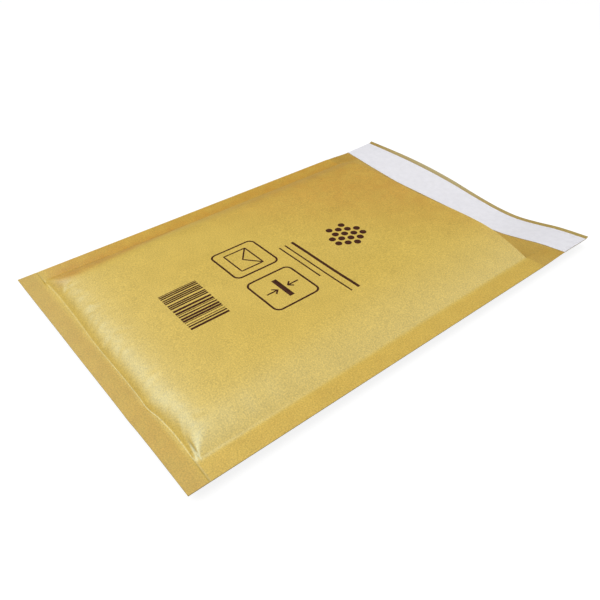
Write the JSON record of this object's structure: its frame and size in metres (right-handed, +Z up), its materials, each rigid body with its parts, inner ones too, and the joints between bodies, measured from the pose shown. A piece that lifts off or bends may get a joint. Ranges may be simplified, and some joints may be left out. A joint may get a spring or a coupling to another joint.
{
  "type": "padded envelope",
  "caption": "Padded mailing envelope of gold paper with a bubble film lining, flat bonded seams, and an open flap with a white release liner over its glue.",
  "frame": {"origin": "under the middle of the whole outline, flap included, on the surface that the envelope lies on", "axes": "+X across the front, +Y from the bottom hem towards the flap, +Z up out of the front panel"},
  "size_m": [0.16, 0.241, 0.0145],
  "materials": {
    "gold_paper": "smooth brown paper with a gold tone, matt to satin",
    "bubble_film": "clear thin film, glossy",
    "glue": "tacky, satin",
    "coated_paper": "white coated paper, satin"
  },
  "bodies": {
    "root": {"paper_cover": "gold_paper", "bubble_lining": "bubble_film", "adhesive_strip": "glue", "release_liner": "coated_paper"}
  },
  "joints": []
}
